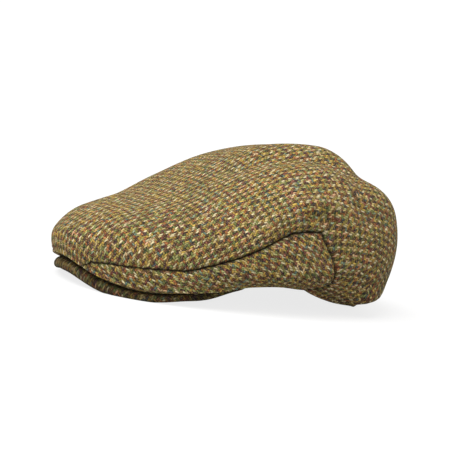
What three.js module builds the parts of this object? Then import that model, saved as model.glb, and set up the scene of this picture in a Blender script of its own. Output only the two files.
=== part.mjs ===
// A tweed flat cap: a long top panel, two crescent side panels and a stiff peak.
// Sizes are millimetres and angles are degrees.
// +X is the wearer's left, -Y is the front and +Z is up. The cap rests on z = 0.
// An angle round the crown is 0 at the front, 90 at the wearer's left and 180 at the back.
// A level up the crown is 0 at the hem, 1 at the widest line and 2 at the top of the head.
import * as THREE from 'three';

// Plan of the crown, seen from above
const CROWN_LENGTH = 276;
const CROWN_WIDTH = 206;
const WIDEST_Y = 28;
const FRONT_SQUARENESS = 2.15;
const BACK_SQUARENESS = 2.3;

// Hem of the head opening, and the strip of cloth turned in along it
const HEM_LENGTH = 208;
const HEM_WIDTH = 172;
const HEM_Y = 14;
const HEM_TURN = 6;

// Cloth, and the seam space left between two panels
const WALL = 2.6;
const SEAM_GAP = 0.3;
const SEAT_GAP = 0.4;

// The front hem lies on the peak this far inside the widest line, then leaves it for the head
const OVERHANG = 3;
const LEAVES_PEAK = 52;
const ON_HEAD = 85;

// Side panels, from their blunt tip near the front to the seam behind the ear. Both ends
// lean: the tip reaches forward at the hem, and the rear seam leans forward as it rises.
const TIP_ANGLE = 18;
const TIP_LEAN = 5;
const TIP_REACH = 8;
const TIP_LEVEL = 0.56;
const REAR_SEAM_ANGLE = 94.5;
const REAR_SEAM_LEAN = 7;
const REAR_SEAM_REACH = 16;

// Sections round the crown
const RING = {
  angle: [0, 20, 35, 50, 61, 70, 90, 110, 130, 155, 180],
  // height of the widest line
  rim: [32, 28, 26, 26, 28, 30, 36, 44, 50, 55, 57],
  // height of the hem
  hem: [19.4, 12.1, 9, 10.5, 14, 18.8, 19.1, 10.5, 5.6, 0, 0],
  // how far the wall has turned inwards when it reaches the hem
  tuck: [45, 45, 42, 45, 54, 62, 66, 64, 66, 68, 68],
  // how squarely the top turns down at its edge
  edge: [14, 12, 10, 9, 8.2, 7.5, 6, 5, 4.5, 4, 4],
};

// The crown's profile from front to back, and how far the top drops to each side
const SPINE = {
  y: [-138, -110, -75, -35, 5, 45, 85, 115, 138],
  top: [46, 56, 65, 87.5, 108.5, 119, 119.5, 110, 92],
  droop: [6, 8, 12, 16, 18, 18, 16, 14, 10],
};

// The seam between the top panel and a side panel
const SEAM = {
  angle: [0, 18, 26, 40, 52, 66, 80, 88, 120, 180],
  level: [0.5, 0.54, 0.72, 0.88, 1, 1.09, 1.18, 1.17, 1.2, 1.22],
};

// Soft folds of the crown. Each runs along a line of points, and pushes the cloth out there by
// the fourth number, or in where that is below zero, fading over its width on both sides.
const FOLDS = [
  { name: 'crest', width: 18, line: [[-4, -15, 102, 1], [8, 20, 116, 4], [24, 58, 118, 4]] },
  { name: 'terrace', width: 12, line: [[20, -30, 92, -1], [36, 10, 106, -3.5], [50, 50, 112, -4]] },
  { name: 'back dip', width: 15, line: [[64, 66, 106, -6], [42, 92, 107, -6], [20, 112, 104, -3]] },
  { name: 'back shoulder', width: 16, line: [[68, 102, 86, 2.5], [50, 118, 82, 2.5]] },
  { name: 'left roll', width: 9, line: [[92, -50, 44, 0], [90, -14, 67, 3], [88, 6, 80, 3.5],
    [91, 24, 81, 3.5], [98, 46, 66, 1]] },
  { name: 'left dent', width: 12, line: [[91, 60, 84, -3], [88, 78, 74, -2]] },
  { name: 'left pouch', width: 11, line: [[98, -16, 34, 0.5], [98, 6, 34, 2.5], [98, 26, 34, 2.5]] },
  { name: 'nape', width: 18, line: [[86, 76, 24, 3.5], [66, 97, 22, 3.5]] },
  { name: 'right roll', width: 10, line: [[-93, -44, 46, 0], [-90, -6, 72, 3], [-92, 14, 80, 3.5],
    [-98, 44, 68, 1]] },
  { name: 'right dent', width: 16, line: [[-74, 28, 101, -2], [-72, 52, 103, -4], [-54, 82, 106, -2]] },
  { name: 'right pouch', width: 12, line: [[-98, -20, 34, 0.5], [-98, 4, 34, 2.5], [-98, 24, 34, 2]] },
];
// The middle line that the folds push away from
const CORE_FRONT_Y = -60;
const CORE_BACK_Y = 70;
const CORE_HEIGHT = 30;

// Peak: a curved crescent under the front of the crown
const PEAK_THICKNESS = 5;
const PEAK_END_ANGLE = 68;
const PEAK_TAPER_ANGLE = 52;
const PEAK_END_SHARE = 0.3;
const PEAK_INSET = 5;
const PEAK_END_INSET = 19;
const PEAK_NARROWS = 45;
const PEAK_FRONT_HEIGHT = 9.7;
const PEAK_SLOPE = 0.16;
const PEAK_ARCH = 17.2;
const PEAK_ARCH_WIDTH = 150;
const PEAK_ARCH_RIGHT_POWER = 1.6;
const PEAK_END_RISE = 1.8;
const PEAK_RISE_START_Y = -100;
const PEAK_RISE_END_Y = -50;

// Mesh steps
const STEPS_TO_TIP = 3;
const STEPS_ALONG_PANEL = 22;
const STEPS_TO_BACK = 17;
const ROWS_BELOW_SEAM = 6;
const ROWS_ABOVE_SEAM = 15;
const PEAK_STEPS = 32;
const PEAK_ROWS = 5;
const PEAK_NOSE_STEPS = 4;
const PROBE = 0.02;

const degrees = (value) => THREE.MathUtils.degToRad(value);
const mix = THREE.MathUtils.lerp;
const ease = THREE.MathUtils.smoothstep;

// A smooth curve through a table's columns, level at both ends
function lookUp(position, stations, values) {
  const last = stations.length - 1;
  const x = THREE.MathUtils.clamp(position, stations[0], stations[last]);
  let i = 0;
  while (i < last - 1 && x >= stations[i + 1]) i += 1;
  const slope = (k) => (k === 0 || k === last
    ? 0
    : (values[k + 1] - values[k - 1]) / (stations[k + 1] - stations[k - 1]));
  const span = stations[i + 1] - stations[i];
  const t = (x - stations[i]) / span;
  const rise = t * t * (3 - 2 * t);
  return values[i] * (1 - rise) + values[i + 1] * rise
    + span * (t * (1 - t) * (1 - t) * slope(i) - t * t * (1 - t) * slope(i + 1));
}

// The crown's outline in plan: two half superellipses that meet where it is widest
function planPoint(angle) {
  const sine = Math.sin(degrees(angle));
  const cosine = Math.cos(degrees(angle));
  const reach = CROWN_LENGTH / 2 + (cosine > 0 ? WIDEST_Y : -WIDEST_Y);
  const power = 2 / (cosine > 0 ? FRONT_SQUARENESS : BACK_SQUARENESS);
  return new THREE.Vector2(
    CROWN_WIDTH / 2 * Math.sign(sine) * Math.abs(sine) ** power,
    WIDEST_Y - reach * Math.sign(cosine) * Math.abs(cosine) ** power,
  );
}

// An ellipse round the head, larger or smaller than the hem line
function headPoint(angle, inset = 0) {
  return new THREE.Vector2(
    (HEM_WIDTH / 2 - inset) * Math.sin(degrees(angle)),
    HEM_Y - (HEM_LENGTH / 2 - inset) * Math.cos(degrees(angle)),
  );
}

// A point moved towards the middle of the crown
function movedIn(point, distance) {
  const middle = new THREE.Vector2(0, WIDEST_Y);
  const share = distance / point.distanceTo(middle);
  return point.clone().lerp(middle, share);
}

// The angle on the crown of a point of the panels' grid, where both ends of a panel lean
function leaningAngle(angle, level) {
  const fromRear = (Math.abs(angle) - REAR_SEAM_ANGLE) / REAR_SEAM_REACH;
  const fromTip = (Math.abs(angle) - TIP_ANGLE) / TIP_REACH;
  const rearLean = REAR_SEAM_LEAN * ease(level, 0.6, 1.2) * Math.exp(-fromRear * fromRear);
  const tipLean = TIP_LEAN * (1 - ease(level, 0, TIP_LEVEL)) * Math.exp(-fromTip * fromTip);
  return angle - Math.sign(angle) * (rearLean + tipLean);
}

// How much of the hem at an angle from the front lies on the peak and not on the head
function shareOnPeak(turn) {
  return 1 - ease(turn, LEAVES_PEAK, ON_HEAD);
}

// How far the folds push the cloth out at a point
function foldHeight(point) {
  let total = 0;
  for (const { width, line } of FOLDS) {
    let nearest = Infinity;
    let height = 0;
    for (let k = 1; k < line.length; k += 1) {
      const stretch = new THREE.Line3(
        new THREE.Vector3(...line[k - 1].slice(0, 3)),
        new THREE.Vector3(...line[k].slice(0, 3)),
      );
      const along = stretch.closestPointToPointParameter(point, true);
      const distance = stretch.at(along, new THREE.Vector3()).distanceTo(point);
      if (distance < nearest) {
        nearest = distance;
        height = mix(line[k - 1][3], line[k][3], along);
      }
    }
    total += height * Math.exp(-((nearest / width) ** 2));
  }
  return total;
}

// The outer face of the crown at an angle and a level
function crownPoint(panelAngle, level) {
  const angle = leaningAngle(panelAngle, level);
  const turn = Math.abs(THREE.MathUtils.euclideanModulo(angle + 180, 360) - 180);
  const rim = planPoint(angle);
  const rimHeight = lookUp(turn, RING.angle, RING.rim);
  const point = new THREE.Vector3();
  if (level <= 1) {
    const hem = headPoint(angle).lerp(movedIn(rim, OVERHANG), shareOnPeak(turn));
    const hemHeight = Math.max(lookUp(turn, RING.angle, RING.hem), 0)
      + (peakHeight(hem.x, hem.y) - peakHeight(Math.abs(hem.x), hem.y)) * shareOnPeak(turn);
    const tuck = degrees(lookUp(turn, RING.angle, RING.tuck));
    const down = 1 - Math.max(level, 0);
    const inwards = (1 - Math.cos(down * tuck)) / (1 - Math.cos(tuck));
    const fall = Math.sin(down * tuck) / Math.sin(tuck);
    const plan = rim.clone().lerp(hem, inwards);
    point.set(plan.x, plan.y, mix(rimHeight, hemHeight, fall));
  } else {
    const out = Math.cos((Math.min(level, 2) - 1) * Math.PI / 2);
    const x = rim.x * out;
    const y = mix(WIDEST_Y, rim.y, out);
    const across = x / (CROWN_WIDTH / 2);
    const top = lookUp(y, SPINE.y, SPINE.top) - lookUp(y, SPINE.y, SPINE.droop) * across * across;
    const rise = Math.sqrt(1 - out ** lookUp(turn, RING.angle, RING.edge));
    point.set(x, y, mix(rimHeight, top, rise));
  }
  const core = new THREE.Vector3(0, THREE.MathUtils.clamp(point.y, CORE_FRONT_Y, CORE_BACK_Y), CORE_HEIGHT);
  const outwards = point.clone().sub(core).normalize();
  const settled = ease(level, 0, 0.45);
  return point.addScaledVector(outwards, foldHeight(point) * settled);
}

// Unit directions along the crown's face at a point: round it, up it and out of it
function crownFrame(angle, level) {
  const low = Math.max(level - PROBE, 0);
  const high = Math.min(level + PROBE, 1.99);
  const probe = PROBE * 10;
  const round = crownPoint(angle + probe, Math.min(level, high))
    .sub(crownPoint(angle - probe, Math.min(level, high)))
    .normalize();
  const up = crownPoint(angle, high).sub(crownPoint(angle, low)).normalize();
  const out = new THREE.Vector3().crossVectors(round, up).normalize();
  return { round, up, out };
}

// Columns of the crown's mesh, from back to front to back, with the two panels' ends marked
function crownColumns() {
  const half = [];
  for (let k = 0; k < STEPS_TO_TIP; k += 1) half.push(TIP_ANGLE * k / STEPS_TO_TIP);
  for (let k = 0; k < STEPS_ALONG_PANEL; k += 1) {
    half.push(mix(TIP_ANGLE, REAR_SEAM_ANGLE, k / STEPS_ALONG_PANEL));
  }
  for (let k = 0; k <= STEPS_TO_BACK; k += 1) {
    half.push(mix(REAR_SEAM_ANGLE, 180, k / STEPS_TO_BACK));
  }
  const right = half.slice(1, -1).reverse().map((angle) => -angle);
  return [...right, ...half];
}
const COLUMNS = crownColumns();
const PANEL_ENDS = {
  left: [TIP_ANGLE, REAR_SEAM_ANGLE],
  right: [-REAR_SEAM_ANGLE, -TIP_ANGLE],
};

// Rows of the mesh: the turned-in strip, the rows up to the seam, then those above it
const SEAM_ROW = ROWS_BELOW_SEAM + 1;
const TOP_ROW = SEAM_ROW + ROWS_ABOVE_SEAM;
function rowLevel(angle, row) {
  const seam = lookUp(Math.abs(angle), SEAM.angle, SEAM.level);
  if (row <= SEAM_ROW) return seam * Math.max(row - 1, 0) / ROWS_BELOW_SEAM;
  return mix(seam, 2, (row - SEAM_ROW) / ROWS_ABOVE_SEAM);
}

function panelOf(angle) {
  return Object.keys(PANEL_ENDS).find((side) => (
    angle >= PANEL_ENDS[side][0] && angle <= PANEL_ENDS[side][1]));
}

// The two faces of the cloth at one vertex of the mesh, moved off the seams by half the gap
function clothVertex(angle, row, isTopPanel) {
  const level = rowLevel(angle, row);
  const frame = crownFrame(angle, level);
  const outer = crownPoint(angle, level);
  const panel = panelOf(angle);
  if (panel && row <= SEAM_ROW) {
    const [first, last] = PANEL_ENDS[panel];
    const away = isTopPanel ? -SEAM_GAP / 2 : SEAM_GAP / 2;
    if (angle === first) outer.addScaledVector(frame.round, away);
    if (angle === last) outer.addScaledVector(frame.round, -away);
    if (row === SEAM_ROW) outer.addScaledVector(frame.up, -away);
  }
  if (row === TOP_ROW) {
    return { outer, inner: outer.clone().setZ(outer.z - WALL) };
  }
  if (row > 1) {
    return { outer, inner: outer.clone().addScaledVector(frame.out, -WALL) };
  }
  const inwards = new THREE.Vector3(frame.out.x, frame.out.y, 0).normalize().negate();
  if (row === 1) {
    const inner = outer.clone().addScaledVector(inwards, WALL);
    inner.z += WALL;
    return { outer, inner };
  }
  outer.addScaledVector(inwards, HEM_TURN);
  const seat = peakHeight(outer.x, outer.y) + PEAK_THICKNESS + SEAT_GAP;
  outer.z = mix(outer.z, seat, shareOnPeak(Math.abs(angle)));
  return { outer, inner: outer.clone().setZ(outer.z + WALL) };
}

// A closed shell from the cells of the crown's mesh that belong to one panel
function clothShell(isTopPanel, holdsCell) {
  const positions = [];
  const indexOf = new Map();
  const vertex = (column, row, face) => {
    const wrapped = row === TOP_ROW ? 0 : column % COLUMNS.length;
    const key = `${wrapped},${row}`;
    if (!indexOf.has(key)) {
      const { outer, inner } = clothVertex(COLUMNS[wrapped], row, isTopPanel);
      indexOf.set(key, positions.length / 3);
      positions.push(...outer.toArray(), ...inner.toArray());
    }
    return indexOf.get(key) + (face === 'outer' ? 0 : 1);
  };
  const triangles = [];
  const quad = (a, b, c, d) => {
    if (a !== b) triangles.push(a, b, c);
    if (c !== d) triangles.push(a, c, d);
  };
  const holds = (column, row) => {
    const count = COLUMNS.length;
    return row >= 0 && row < TOP_ROW && holdsCell((column + count) % count, row);
  };
  for (let column = 0; column < COLUMNS.length; column += 1) {
    for (let row = 0; row < TOP_ROW; row += 1) {
      if (!holds(column, row)) continue;
      const corner = (right, up, face) => vertex(column + right, row + up, face);
      // An edge face is split on the same diagonal as the one across the seam from it
      const edge = (a, b) => quad(
        corner(...a, 'outer'), corner(...a, 'inner'), corner(...b, 'inner'), corner(...b, 'outer'));
      const facingEdge = (a, b) => quad(
        corner(...a, 'inner'), corner(...b, 'inner'), corner(...b, 'outer'), corner(...a, 'outer'));
      quad(corner(0, 0, 'outer'), corner(1, 0, 'outer'), corner(1, 1, 'outer'), corner(0, 1, 'outer'));
      quad(corner(0, 1, 'inner'), corner(1, 1, 'inner'), corner(1, 0, 'inner'), corner(0, 0, 'inner'));
      if (!holds(column, row - 1)) edge([0, 0], [1, 0]);
      if (!holds(column + 1, row)) edge([1, 0], [1, 1]);
      if (!holds(column, row + 1) && row + 1 < TOP_ROW) facingEdge([1, 1], [0, 1]);
      if (!holds(column - 1, row)) facingEdge([0, 1], [0, 0]);
    }
  }
  return closedGeometry(positions, triangles);
}

function closedGeometry(positions, triangles) {
  const geometry = new THREE.BufferGeometry();
  geometry.setAttribute('position', new THREE.Float32BufferAttribute(positions, 3));
  geometry.setIndex(triangles);
  geometry.computeVertexNormals();
  return geometry;
}

// A cell lies in a side panel when both its columns do and it is below the seam
function sidePanelOfCell(column, row) {
  if (row >= SEAM_ROW) return undefined;
  const side = panelOf(COLUMNS[column]);
  return side && side === panelOf(COLUMNS[(column + 1) % COLUMNS.length]) ? side : undefined;
}

// The peak's lower face, where it has its full thickness: arched from side to side, with the
// right side flatter in front, sloping down to the front and rising a little at its two ends
function peakHeight(x, y) {
  const power = x < 0 ? PEAK_ARCH_RIGHT_POWER : 1;
  const arch = (Math.sin(Math.PI * x / PEAK_ARCH_WIDTH) ** 2) ** power;
  const endRise = PEAK_END_RISE * ease(y, PEAK_RISE_START_Y, PEAK_RISE_END_Y);
  return PEAK_FRONT_HEIGHT + PEAK_SLOPE * (y + CROWN_LENGTH / 2) - PEAK_ARCH * arch + endRise;
}

// One section of the peak as a closed loop: under face outwards, round nose, top face inwards.
// The upper face keeps its height, and the lower one comes up to it towards the peak's ends.
function peakSection(angle) {
  const inset = mix(PEAK_INSET, PEAK_END_INSET, ease(Math.abs(angle), PEAK_NARROWS, PEAK_END_ANGLE));
  const taper = mix(1, PEAK_END_SHARE, ease(Math.abs(angle), PEAK_TAPER_ANGLE, PEAK_END_ANGLE));
  const radius = PEAK_THICKNESS / 2 * taper;
  const inner = headPoint(angle, HEM_TURN);
  const outer = movedIn(planPoint(angle), inset + radius);
  const outwards = outer.clone().sub(inner).normalize();
  const loop = [];
  const add = (plan, drop) => {
    loop.push([plan.x, plan.y, peakHeight(plan.x, plan.y) + PEAK_THICKNESS - drop]);
  };
  for (let k = 0; k <= PEAK_ROWS; k += 1) add(inner.clone().lerp(outer, k / PEAK_ROWS), 2 * radius);
  for (let k = 1; k < PEAK_NOSE_STEPS; k += 1) {
    const turn = Math.PI * k / PEAK_NOSE_STEPS;
    const nose = outer.clone().addScaledVector(outwards, radius * Math.sin(turn));
    add(nose, radius * (1 + Math.cos(turn)));
  }
  for (let k = PEAK_ROWS; k >= 0; k -= 1) add(inner.clone().lerp(outer, k / PEAK_ROWS), 0);
  return loop;
}

// The peak's sections joined into one solid with flat ends
function peakSolid() {
  const sections = [];
  for (let k = 0; k <= PEAK_STEPS; k += 1) {
    sections.push(peakSection(mix(-PEAK_END_ANGLE, PEAK_END_ANGLE, k / PEAK_STEPS)));
  }
  const size = sections[0].length;
  const triangles = [];
  for (let k = 0; k < PEAK_STEPS; k += 1) {
    for (let i = 0; i < size; i += 1) {
      const a = k * size + i;
      const b = k * size + (i + 1) % size;
      triangles.push(a, b + size, b, a, a + size, b + size);
    }
  }
  const last = PEAK_STEPS * size;
  for (let i = 0; i < PEAK_ROWS; i += 1) {
    const across = size - 1 - i;
    triangles.push(i, across - 1, across, i, i + 1, across - 1);
    triangles.push(last + i, last + across, last + across - 1, last + i, last + across - 1, last + i + 1);
  }
  for (let i = PEAK_ROWS + 1; i < size - PEAK_ROWS - 1; i += 1) {
    triangles.push(PEAK_ROWS, i, i + 1);
    triangles.push(last + PEAK_ROWS, last + i + 1, last + i);
  }
  return closedGeometry(sections.flat(2), triangles);
}

// Materials
const topTweed = new THREE.MeshStandardMaterial({ color: 0x84734e, roughness: 0.95, metalness: 0 });
const sideTweed = new THREE.MeshStandardMaterial({ color: 0x705f3f, roughness: 0.95, metalness: 0 });
const peakTweed = new THREE.MeshStandardMaterial({ color: 0x5c4f37, roughness: 0.95, metalness: 0 });

function namedMesh(name, geometry, material) {
  const mesh = new THREE.Mesh(geometry, material);
  mesh.name = name;
  return mesh;
}

const topPanel = clothShell(true, (column, row) => !sidePanelOfCell(column, row));
const leftPanel = clothShell(false, (column, row) => sidePanelOfCell(column, row) === 'left');
const rightPanel = clothShell(false, (column, row) => sidePanelOfCell(column, row) === 'right');

const cap = new THREE.Group();
cap.add(
  namedMesh('crown_top', topPanel, topTweed),
  namedMesh('side_panel_left', leftPanel, sideTweed),
  namedMesh('side_panel_right', rightPanel, sideTweed),
  namedMesh('peak', peakSolid(), peakTweed),
);

export default cap;
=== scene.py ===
"""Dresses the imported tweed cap: cloth shells with rolled seams, a covered peak and a woven check.

Shapes are worked out in millimetres and put into their meshes in metres.
+X is the wearer's left, -Y is the front and +Z is up.
An angle round the crown is 0 at the front, 90 at the wearer's left and 180 at the back.
A level up the crown is 0 at the hem, 1 at the widest line and 2 at the top of the head.
"""

import math

import bpy
import numpy as np
from mathutils import Matrix, Vector


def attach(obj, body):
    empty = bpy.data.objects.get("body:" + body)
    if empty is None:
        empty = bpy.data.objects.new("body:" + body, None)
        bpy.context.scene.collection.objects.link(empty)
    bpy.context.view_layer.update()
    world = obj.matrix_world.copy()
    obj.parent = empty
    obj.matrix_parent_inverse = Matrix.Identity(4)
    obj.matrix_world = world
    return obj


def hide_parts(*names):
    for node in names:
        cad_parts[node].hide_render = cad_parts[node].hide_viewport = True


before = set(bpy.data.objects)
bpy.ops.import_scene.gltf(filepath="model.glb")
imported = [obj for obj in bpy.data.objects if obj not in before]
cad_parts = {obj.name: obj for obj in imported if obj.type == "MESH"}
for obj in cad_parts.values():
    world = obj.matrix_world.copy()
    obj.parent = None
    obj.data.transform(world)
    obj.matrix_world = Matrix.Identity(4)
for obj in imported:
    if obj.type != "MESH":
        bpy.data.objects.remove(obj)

bl_info = {
    "name": "Tweed flat cap",
    "version": (1, 0, 0),
    "blender": (4, 5, 0),
    "location": "View3D > Sidebar > Tweed cap",
    "description": "Builds the cloth of a tweed flat cap round its packed solids",
    "category": "Object",
}

MM = 0.001

# A length below TINY counts as none, and angles and points as near as this count as the same
TINY = 1e-9
SAME_ANGLE = 1e-6
SAME_POINT = 1e-4

# Plan of the crown, seen from above
CROWN_LENGTH = 276
CROWN_WIDTH = 206
WIDEST_Y = 28
FRONT_SQUARENESS = 2.15
BACK_SQUARENESS = 2.3

# Hem of the head opening, and the strip of cloth turned in along it
HEM_LENGTH = 208
HEM_WIDTH = 172
HEM_Y = 14
HEM_TURN = 6

# Cloth over the peak
SEAT_GAP = 0.4
OVERHANG = 3
LEAVES_PEAK = 52
ON_HEAD = 85

# Side panels, from their blunt tip near the front to the seam behind the ear
TIP_ANGLE = 18
TIP_LEAN = 5
TIP_REACH = 8
TIP_LEVEL = 0.56
REAR_SEAM_ANGLE = 94.5
REAR_SEAM_REACH = 16

# How far the rear seam leans forwards at each level
REAR_SEAM = {
    "level": (0, 0.3, 0.47, 0.62, 0.78, 0.94, 1.03, 1.1, 1.18),
    "lean": (0, 0, 0.4, 1.2, 2.1, 2.7, 3.4, 5.2, 7),
}

# Sections round the crown: the widest line's height, the hem's height, how far the wall has
# turned in when it reaches the hem, and how squarely the top turns down at its edge
RING = {
    "angle": (0, 20, 35, 50, 61, 70, 90, 110, 130, 155, 180),
    "rim": (32, 28, 26, 26, 28, 30, 36, 44, 50, 55, 57),
    "hem": (19.4, 12.1, 9, 10.5, 14, 18.8, 19.1, 10.5, 5.6, 0, 0),
    "tuck": (45, 45, 42, 45, 54, 62, 66, 64, 66, 68, 68),
    "edge": (14, 12, 10, 9, 8.2, 7.5, 6, 5, 4.5, 4, 4),
}

# The crown's profile from front to back, and how far the top drops to each side
SPINE = {
    "y": (-138, -110, -75, -35, 5, 45, 85, 115, 138),
    "top": (46, 56, 65, 87.5, 108.5, 119, 119.5, 110, 92),
    "droop": (6, 8, 12, 16, 18, 18, 16, 14, 10),
}

# The seam between the top panel and a side panel
SEAM = {
    "angle": (0, 18, 26, 40, 52, 66, 80, 88, 96, 120, 180),
    "level": (0.5, 0.54, 0.72, 0.88, 1, 1.09, 1.175, 1.19, 1.18, 1.2, 1.22),
}

# Seams are pulled in and carry less painted shade at the front, up to these angles; the painted shade
# at a seam also stands for its dark seam line. The folded edge of the hem gets a painted highlight
FRONT_SEAM_SHARE = 0.35
SEAM_DEEPENS = (28, 66)
SEAM_SHADE = 0.9
HEM_LIGHT = 0.45

# Soft folds of the solids: a width, and a line of points with the height of the fold there
FOLDS = {
    "crest": (18, ((-4, -15, 102, 1), (8, 20, 116, 4), (24, 58, 118, 4))),
    "terrace": (12, ((20, -30, 92, -1), (36, 10, 106, -3.5), (50, 50, 112, -4))),
    "back dip": (15, ((64, 66, 106, -6), (42, 92, 107, -6), (20, 112, 104, -3))),
    "back shoulder": (16, ((68, 102, 86, 2.5), (50, 118, 82, 2.5))),
    "left roll": (9, ((92, -50, 44, 0), (90, -14, 67, 3), (88, 6, 80, 3.5), (91, 24, 81, 3.5),
                      (98, 46, 66, 1))),
    "left dent": (12, ((91, 60, 84, -3), (88, 78, 74, -2))),
    "left pouch": (11, ((98, -16, 34, 0.5), (98, 6, 34, 2.5), (98, 26, 34, 2.5))),
    "nape": (18, ((86, 76, 24, 3.5), (66, 97, 22, 3.5))),
    "right roll": (10, ((-93, -44, 46, 0), (-90, -6, 72, 3), (-92, 14, 80, 3.5), (-98, 44, 68, 1))),
    "right dent": (16, ((-74, 28, 101, -2), (-72, 52, 103, -4), (-54, 82, 106, -2))),
    "right pouch": (12, ((-98, -20, 34, 0.5), (-98, 4, 34, 2.5), (-98, 24, 34, 2))),
}

# Finer folds of the dressed cloth alone
FINE_FOLDS = {
    "front top": (15, ((-70, -82, 56, 0), (-40, -80, 62, 1.8), (0, -78, 66, 1.8), (40, -78, 62, 1.8),
                       (70, -80, 54, 0))),
    "rear ridge": (5, ((88, -8, 82, 0), (92, 3, 83, 1.3), (94, 19, 84, 1.6), (95, 38, 81, 1.4),
                       (90, 60, 79, 0))),
    "rear hollow": (4.5, ((96, 2, 74, 0), (97, 12, 74, -2), (98, 23, 73, -2.4), (99, 34, 72, -1),
                          (99, 42, 70, 0))),
    "low back": (9, ((80, 56, 11, 0), (83, 68, 14, 4), (86, 77, 17, 6), (80, 92, 17, 5),
                     (66, 104, 16, 2.5), (50, 116, 16, 0))),
}

# Folds are full from these levels upwards, and the solids' folds push out from a core line
FOLDS_SETTLE_LEVEL = 0.45
FINE_SETTLE_LEVEL = 0.16
CORE_FRONT_Y = -60
CORE_BACK_Y = 70
CORE_HEIGHT = 30

# Peak: its thickness falls to a share of itself at both ends, whose last degrees are rounded off
PEAK_THICKNESS = 5
PEAK_END_ANGLE = 68
PEAK_TAPER_ANGLE = 52
PEAK_END_SHARE = 0.5
PEAK_END_LEAST = 0.2
PEAK_INSET = 5
PEAK_END_INSET = 19
PEAK_NARROWS = 45
# Painted shade on the peak's upper face grows over this range of millimetres in from its outer edge
PEAK_SHADE_REACH = (0, 5)

# How much thicker the dressed peak is than its board, and how far its outer edge droops
PEAK_EDGE = {
    "angle": (0, 20, 34, 44, 50, 58, 68),
    "thicker": (3.2, 3.2, 1.2, 0, 0, 2.2, -1),
    "droop": (1, 0.8, 0.2, 0, 0, 0, 0),
}

# The peak's height: a slope, an arch from side to side and a small rise at both ends
PEAK_FRONT_HEIGHT = 9.7
PEAK_SLOPE = 0.16
PEAK_ARCH = 17.2
PEAK_ARCH_WIDTH = 150
PEAK_ARCH_RIGHT_POWER = 1.6
PEAK_END_RISE = 1.8
PEAK_RISE_START_Y = -100
PEAK_RISE_END_Y = -50

# Grid steps: each fine count is a whole number of its coarse step
COLUMNS_TO_TIP = 16
COLUMNS_ALONG_PANEL = 92
COLUMNS_TO_BACK = 56
ROWS_TURNED_IN = 6
ROWS_BELOW_SEAM = 40
ROWS_ABOVE_SEAM = 84
COARSE_COLUMN = 4
COARSE_ROWS = {"turned in": 3, "below": 5, "above": 6}
GRADING_AT_ENDS = 0.8
GRADING_AWAY = 2.2
HEM_ROW = ROWS_TURNED_IN
SEAM_ROW = HEM_ROW + ROWS_BELOW_SEAM
TOP_ROW = SEAM_ROW + ROWS_ABOVE_SEAM
CELLS_AT_A_POINT = 4
PROBE = 0.2
SHARP_EDGE = math.radians(70)

# Rows round the hem whose fold is softened, and rows whose wall is given softer directions
HEM_SOFTENED = (HEM_ROW - 2, HEM_ROW + 6)
HEM_SOFTENING_ROUNDS = 6
WALL_SOFTENED = (1, HEM_ROW + 12)
WALL_SOFTENING_ROUNDS = 30

# Laying the weave on the cloth: behind the rear seams the grain stays level for longer than the
# cloth's own turn, and the cloth is eased together low down at the back
COARSE_ROUNDS = 300
FINE_ROUNDS = 80
GRAIN_FALL_POWER = 1.6
GRAIN_FADE_LEVELS = (1.2, 1.9)
LOOSE_SHARE = 0.25
LOOSE_ANGLES = (100, 170)
LOOSE_LEVELS = (0.9, 1.6)

# Yarn colours as they look on a screen, from 0 to 255, each with its share of the yarn
LIGHT_YARN = (
    ("cream", 0.30, (200, 187, 146)),
    ("straw", 0.22, (194, 172, 112)),
    ("moss", 0.20, (156, 154, 98)),
    ("old gold", 0.14, (186, 158, 74)),
    ("fawn", 0.09, (192, 148, 112)),
    ("sage", 0.05, (136, 152, 122)),
)
DARK_YARN = (
    ("peat", 0.30, (64, 47, 32)),
    ("plum", 0.22, (68, 44, 50)),
    ("charcoal", 0.17, (46, 43, 43)),
    ("maroon", 0.11, (92, 50, 42)),
    ("bottle green", 0.09, (50, 63, 40)),
    ("chestnut", 0.08, (112, 68, 38)),
    ("slate", 0.03, (58, 72, 76)),
)
MIDDLE_YARN = (
    ("olive", 0.23, (130, 116, 56)),
    ("umber", 0.22, (112, 82, 48)),
    ("ochre", 0.16, (156, 124, 54)),
    ("fern", 0.13, (100, 110, 58)),
    ("russet", 0.11, (150, 92, 50)),
    ("claret", 0.07, (112, 60, 52)),
    ("teal", 0.04, (82, 106, 96)),
    ("fawn", 0.04, (176, 150, 110)),
)
STRAY_FIBRES = (
    ("cream", 0.60, (196, 184, 146)),
    ("russet", 0.05, (160, 92, 54)),
    ("moss", 0.10, (122, 130, 76)),
    ("old gold", 0.25, (170, 150, 76)),
)

# The weave: threads in a check, how many of them are light, and how many threads each passes over.
# A thread's number is whole, so it is compared half a step lower.
CHECK_THREADS = 4
LIGHT_THREADS = 2
FLOAT_THREADS = 2
HALF_STEP = 0.5
WARP_CHANCE = 1.5
WEFT_CHANCE = 7.5

# Noises on the cloth, in steps per millimetre. The middle of a noise runs between two values,
# and its colour lies round one.
WAVER_SCALE = 0.16
WAVER_REACH = 8.0
FIBRE_SCALE = 1.9
FIBRE_DETAIL = 3.0
FIBRE_ROUGHNESS = 0.65
FIBRE_LIGHT = (0.72, 1.28)
STRAY_FIBRES_FROM = 0.56
PATCH_SCALE = 0.045
PATCH_LIGHT = (0.92, 1.08)
NOISE_MIDDLE = (0.3, 0.7)
NOISE_CENTRE = (0.5, 0.5, 0.5)

# Painted shade of a thread from its edge to its crown, the tone of one thread and another, and the
# fibres' height
THREAD_EDGE_LIGHT = 0.27
THREAD_CROWN_LIGHT = 0.85
THREAD_LEAST_LIGHT = 0.75
THREAD_LIGHT_SPREAD = 0.5
THREAD_ROUNDNESS = 0.5
FUZZ_HEIGHT = 0.35

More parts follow.
